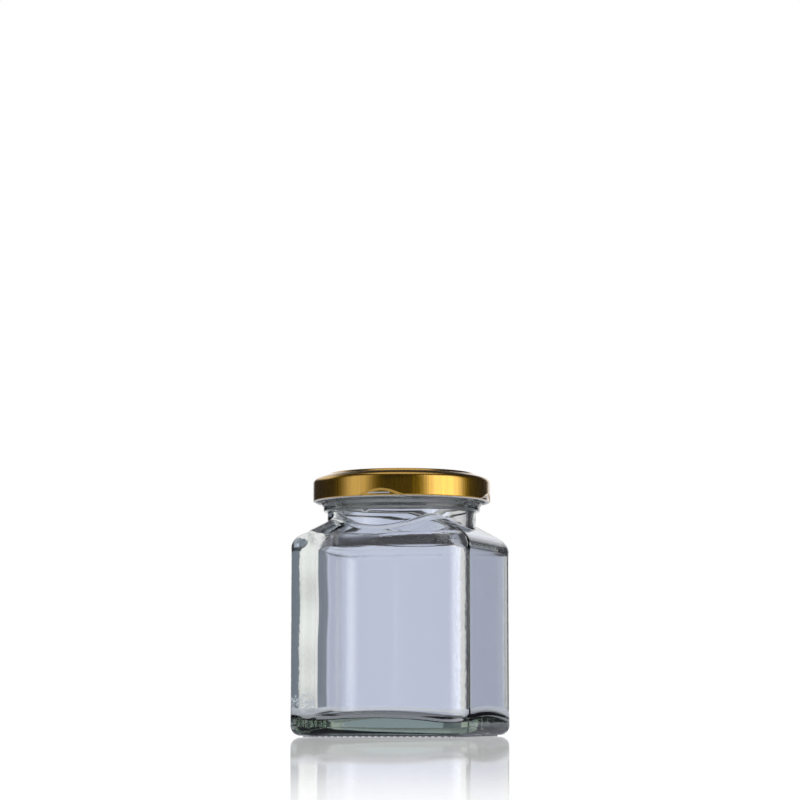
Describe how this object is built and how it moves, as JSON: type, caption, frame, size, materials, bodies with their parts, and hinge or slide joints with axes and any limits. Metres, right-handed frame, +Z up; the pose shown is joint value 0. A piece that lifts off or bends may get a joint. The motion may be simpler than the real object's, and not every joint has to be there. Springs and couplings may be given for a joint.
{
  "type": "square glass jar with twist-off lid",
  "caption": "Empty clear square glass jar with rounded corners, a round neck and a gold twist-off metal lid, for storing food.",
  "frame": {"origin": "centre of the base, on the plane the jar stands on", "axes": "+Z up along the jar's axis, flat faces looking along X and Y, front face looks along -Y"},
  "size_m": [0.068, 0.068, 0.0968],
  "materials": {
    "clear_glass": "clear soda-lime glass, fire-polished, faint blue-grey tint in thick places",
    "gold_lacquer": "gold-lacquered tinplate, glossy over a fine upright brushed grain"
  },
  "bodies": {
    "root": {"jar_glass": "clear_glass", "lid": "gold_lacquer"}
  },
  "joints": []
}
